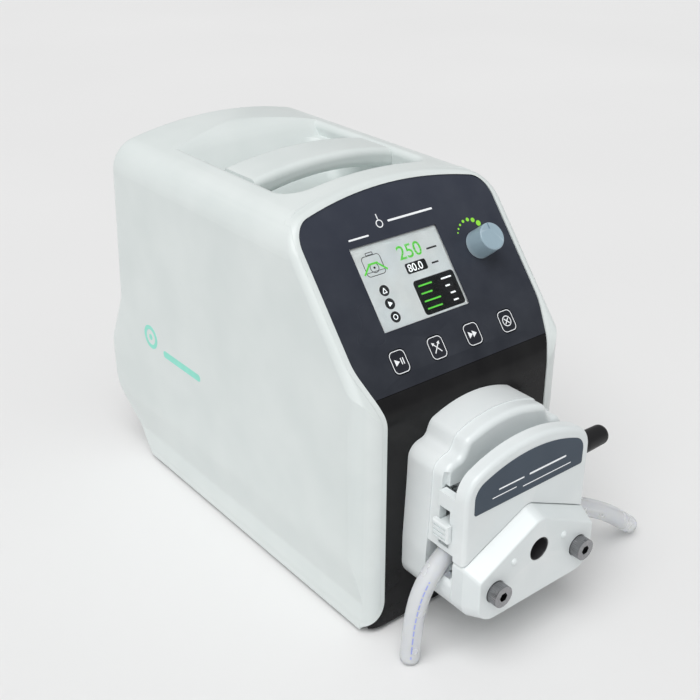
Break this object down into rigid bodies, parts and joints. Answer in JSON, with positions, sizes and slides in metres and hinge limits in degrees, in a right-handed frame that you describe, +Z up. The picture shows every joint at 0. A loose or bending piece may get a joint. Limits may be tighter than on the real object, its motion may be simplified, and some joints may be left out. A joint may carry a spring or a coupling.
{
  "type": "peristaltic pump",
  "caption": "Bench-top peristaltic pump: slanted control panel with display, keys and knob, carrying handle, and a cassette pump head that squeezes a clear tube with rollers.",
  "frame": {"origin": "on the table, in the middle under the pump, its two tube ends left out", "axes": "+X to the right as the user faces the panel, -Y towards the user, +Z up"},
  "size_m": [0.2043, 0.352, 0.2405],
  "materials": {
    "housing_white": "moulded white plastic with a faint cool tint, satin gloss",
    "head_white": "smooth moulded white engineering plastic",
    "overlay_black": "glossy blue-black keypad overlay",
    "front_black": "gloss black moulded cover",
    "dark_plastic": "plain dark moulding",
    "display_glass": "clear flat window",
    "display_body": "display module",
    "board_green": "circuit board with parts",
    "key_face": "glossy dark key caps with white outline icons",
    "knob_blue": "light steel-blue turned knob",
    "steel": "turned stainless steel",
    "screw_steel": "knurled steel socket heads",
    "zinc_sheet": "folded sheet and die-cast metal",
    "motor_black": "stepper motor housing",
    "label_slate": "thin slate-blue label",
    "lever_black": "dark moulded lever",
    "foot_rubber": "soft rubber feet",
    "roller_nylon": "hard pale rollers",
    "tube_clear": "translucent silicone tube"
  },
  "bodies": {
    "drive": {"housing_shell": "housing_white", "front_frame": "housing_white", "carry_handle": "housing_white", "keypad_overlay": "overlay_black", "lower_front_cover": "front_black", "panel_carrier": "dark_plastic", "base_plate": "dark_plastic", "rubber_feet": "foot_rubber", "case_screws": "screw_steel", "display_lens": "display_glass", "display_module": "display_body", "control_board": "board_green", "key_switches": "dark_plastic", "knob_encoder": "zinc_sheet", "gear_motor": "motor_black", "motor_bracket": "zinc_sheet", "driver_board": "board_green", "power_supply": "board_green", "rear_panel": "zinc_sheet", "fan_guard": "steel", "fan_frame": "dark_plastic", "power_inlet": "dark_plastic", "switch_bezel": "dark_plastic", "signal_socket": "zinc_sheet", "head_rear_body": "head_white", "head_mid_ring": "head_white", "head_lower_body": "head_white", "head_front_piece": "head_white", "lever_pin": "steel", "rear_bearing": "steel", "front_bearing": "steel", "front_screws": "screw_steel", "lower_jaws": "zinc_sheet", "pump_tube": "tube_clear", "tube_tail_left": "tube_clear", "tube_tail_right": "tube_clear", "lift_springs": "steel"},
    "start_stop_button": {"start_stop_key": "key_face"},
    "direction_button": {"direction_key": "key_face"},
    "prime_button": {"prime_key": "key_face"},
    "escape_button": {"escape_key": "key_face"},
    "knob": {"speed_knob": "knob_blue", "encoder_shaft": "steel"},
    "rocker": {"power_switch": "dark_plastic"},
    "fan": {"fan_rotor": "dark_plastic"},
    "lever": {"lever_arm": "steel", "lever_grip": "lever_black"},
    "block": {"upper_block": "head_white", "front_cover": "head_white", "cover_label": "label_slate"},
    "rotor": {"rotor_shaft": "steel", "rotor_plates": "steel", "drive_coupling": "steel"},
    "roller_a": {"roller_1": "roller_nylon"},
    "roller_b": {"roller_2": "roller_nylon"},
    "roller_c": {"roller_3": "roller_nylon"},
    "left_retainer": {"retainer_left": "head_white", "retainer_jaw_left": "zinc_sheet"},
    "right_retainer": {"retainer_right": "head_white", "retainer_jaw_right": "zinc_sheet"}
  },
  "joints": [
    {"name": "start_stop_press", "type": "slide", "parent": "drive", "child": "start_stop_button", "axis": [0, 0.7796, -0.6263], "range_m": [0, 0.0005], "stiffness_N_per_m": 1200, "springref_m": -0.0005},
    {"name": "direction_press", "type": "slide", "parent": "drive", "child": "direction_button", "axis": [0, 0.7796, -0.6263], "range_m": [0, 0.0005], "stiffness_N_per_m": 1200, "springref_m": -0.0005},
    {"name": "prime_press", "type": "slide", "parent": "drive", "child": "prime_button", "axis": [0, 0.7796, -0.6263], "range_m": [0, 0.0005], "stiffness_N_per_m": 1200, "springref_m": -0.0005},
    {"name": "escape_press", "type": "slide", "parent": "drive", "child": "escape_button", "axis": [0, 0.7796, -0.6263], "range_m": [0, 0.0005], "stiffness_N_per_m": 1200, "springref_m": -0.0005},
    {"name": "knob_turn", "type": "hinge", "parent": "drive", "child": "knob", "pos_m": [0.0439, -0.06717, 0.19914], "axis": [0, -0.7796, 0.6263], "continuous": true},
    {"name": "power_rock", "type": "hinge", "parent": "drive", "child": "rocker", "pos_m": [-0.028, 0.146, 0.07], "axis": [-1, 0, 0], "range_deg": [0, 10]},
    {"name": "fan_spin", "type": "hinge", "parent": "drive", "child": "fan", "pos_m": [0.022, 0.139, 0.068], "axis": [0, 1, 0], "continuous": true},
    {"name": "lever_swing", "type": "hinge", "parent": "drive", "child": "lever", "pos_m": [0, -0.146, 0.112], "axis": [0, -1, 0], "range_deg": [0, 180]},
    {"name": "block_lift", "type": "slide", "parent": "drive", "child": "block", "axis": [0, 0, 1], "range_m": [0, 0.009], "deforming": ["lift_springs"]},
    {"name": "rotor_spin", "type": "hinge", "parent": "drive", "child": "rotor", "pos_m": [0, -0.14, 0.0639], "axis": [0, -1, 0], "continuous": true},
    {"name": "roller_a_spin", "type": "hinge", "parent": "rotor", "child": "roller_a", "pos_m": [0, -0.14, 0.0783], "axis": [0, -1, 0], "continuous": true},
    {"name": "roller_b_spin", "type": "hinge", "parent": "rotor", "child": "roller_b", "pos_m": [0.01247, -0.14, 0.0567], "axis": [0, -1, 0], "continuous": true},
    {"name": "roller_c_spin", "type": "hinge", "parent": "rotor", "child": "roller_c", "pos_m": [-0.01247, -0.14, 0.0567], "axis": [0, -1, 0], "continuous": true},
    {"name": "left_retainer_slide", "type": "slide", "parent": "block", "child": "left_retainer", "axis": [0, 0, 1], "range_m": [0, 0.006]},
    {"name": "right_retainer_slide", "type": "slide", "parent": "block", "child": "right_retainer", "axis": [0, 0, 1], "range_m": [0, 0.006]}
  ],
  "couplings": [
    {"joint": "block_lift", "follows": "lever_swing", "m_per_rad": 0.002864},
    {"joint": "roller_a_spin", "follows": "rotor_spin", "ratio": -3.0571},
    {"joint": "roller_b_spin", "follows": "rotor_spin", "ratio": -3.0571},
    {"joint": "roller_c_spin", "follows": "rotor_spin", "ratio": -3.0571}
  ]
}
